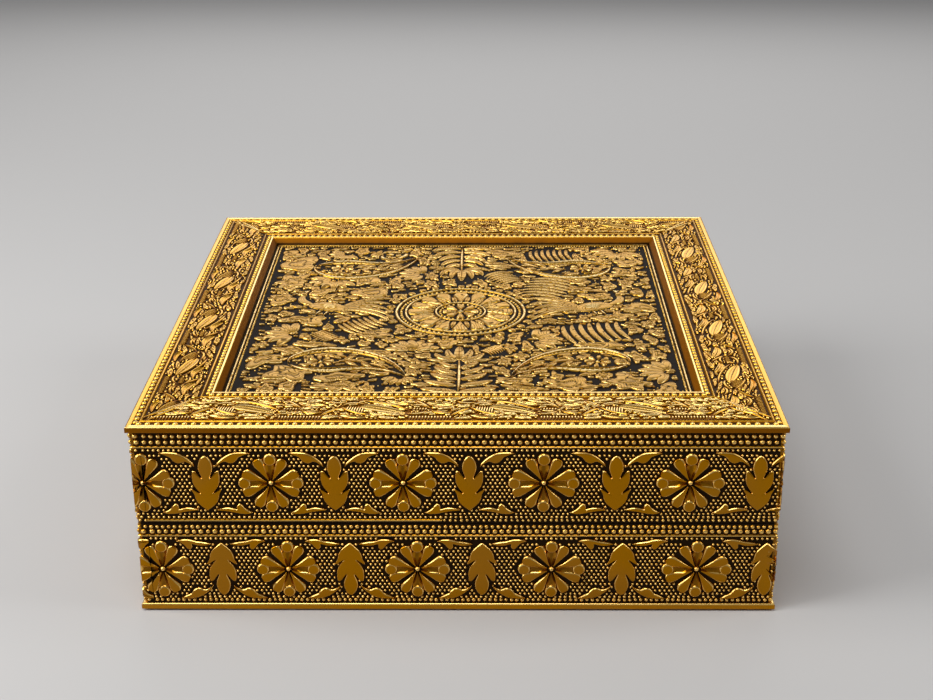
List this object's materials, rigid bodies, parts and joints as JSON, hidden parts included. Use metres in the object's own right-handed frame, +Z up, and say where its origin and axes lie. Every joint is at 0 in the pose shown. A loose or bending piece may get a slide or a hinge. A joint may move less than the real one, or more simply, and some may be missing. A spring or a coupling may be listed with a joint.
{
  "type": "dry fruit box",
  "caption": "Square lidded box in stamped antique-gold sheet over wood, velvet lined with a cross partition, deep lid on small butt hinges.",
  "frame": {"origin": "on the table under the middle of the slab that tops the lid, in the plane of the felt's underside", "axes": "+Z up, -Y out of the front face, +Y towards the hinges, +X to the right seen from the front"},
  "size_m": [0.203, 0.2129, 0.0654],
  "materials": {
    "antique_gold_sheet": "stamped gold-tone sheet, dark patina in the hollows, rubbed bright on the relief",
    "frame_gold_sheet": "stamped gold-tone sheet, lighter and more rubbed, satin",
    "panel_gold_sheet": "stamped gold-tone sheet over a brown-black ground, satin",
    "wood_board": "plain fibreboard and softwood, sealed matt",
    "maroon_velvet": "short-pile maroon velvet glued over card",
    "black_felt": "thin black felt, matt",
    "hinge_brass": "rolled brass, satin, slightly tarnished",
    "screw_steel": "yellow-passivated small wood screws"
  },
  "bodies": {
    "base": {"base_back_board": "wood_board", "base_back_foot_strip": "antique_gold_sheet", "base_back_liner": "maroon_velvet", "base_back_sheet": "antique_gold_sheet", "base_floor_board": "wood_board", "base_floor_liner": "maroon_velvet", "base_front_board": "wood_board", "base_front_foot_strip": "antique_gold_sheet", "base_front_liner": "maroon_velvet", "base_front_sheet": "antique_gold_sheet", "base_hinge_screws": "screw_steel", "base_left_board": "wood_board", "base_left_foot_strip": "antique_gold_sheet", "base_left_liner": "maroon_velvet", "base_left_sheet": "antique_gold_sheet", "base_right_board": "wood_board", "base_right_foot_strip": "antique_gold_sheet", "base_right_liner": "maroon_velvet", "base_right_sheet": "antique_gold_sheet", "base_underside_felt": "black_felt", "left_hinge_base_leaf": "hinge_brass", "left_hinge_pin": "hinge_brass", "long_partition": "maroon_velvet", "right_hinge_base_leaf": "hinge_brass", "right_hinge_pin": "hinge_brass", "short_partition": "maroon_velvet"},
    "lid": {"left_hinge_lid_leaf": "hinge_brass", "lid_back_board": "wood_board", "lid_back_liner": "maroon_velvet", "lid_back_rail": "wood_board", "lid_back_rail_sheet": "frame_gold_sheet", "lid_back_sheet": "antique_gold_sheet", "lid_front_board": "wood_board", "lid_front_liner": "maroon_velvet", "lid_front_rail": "wood_board", "lid_front_rail_sheet": "frame_gold_sheet", "lid_front_sheet": "antique_gold_sheet", "lid_hinge_screws": "screw_steel", "lid_left_board": "wood_board", "lid_left_liner": "maroon_velvet", "lid_left_rail": "wood_board", "lid_left_rail_sheet": "frame_gold_sheet", "lid_left_sheet": "antique_gold_sheet", "lid_relief_panel": "panel_gold_sheet", "lid_right_board": "wood_board", "lid_right_liner": "maroon_velvet", "lid_right_rail": "wood_board", "lid_right_rail_sheet": "frame_gold_sheet", "lid_right_sheet": "antique_gold_sheet", "lid_top_board": "wood_board", "lid_top_liner": "maroon_velvet", "right_hinge_lid_leaf": "hinge_brass"}
  },
  "joints": [
    {"name": "lid_hinge", "type": "hinge", "parent": "base", "child": "lid", "pos_m": [0, 0.106, 0.0313], "axis": [-1, 0, 0], "range_deg": [0, 155]}
  ]
}
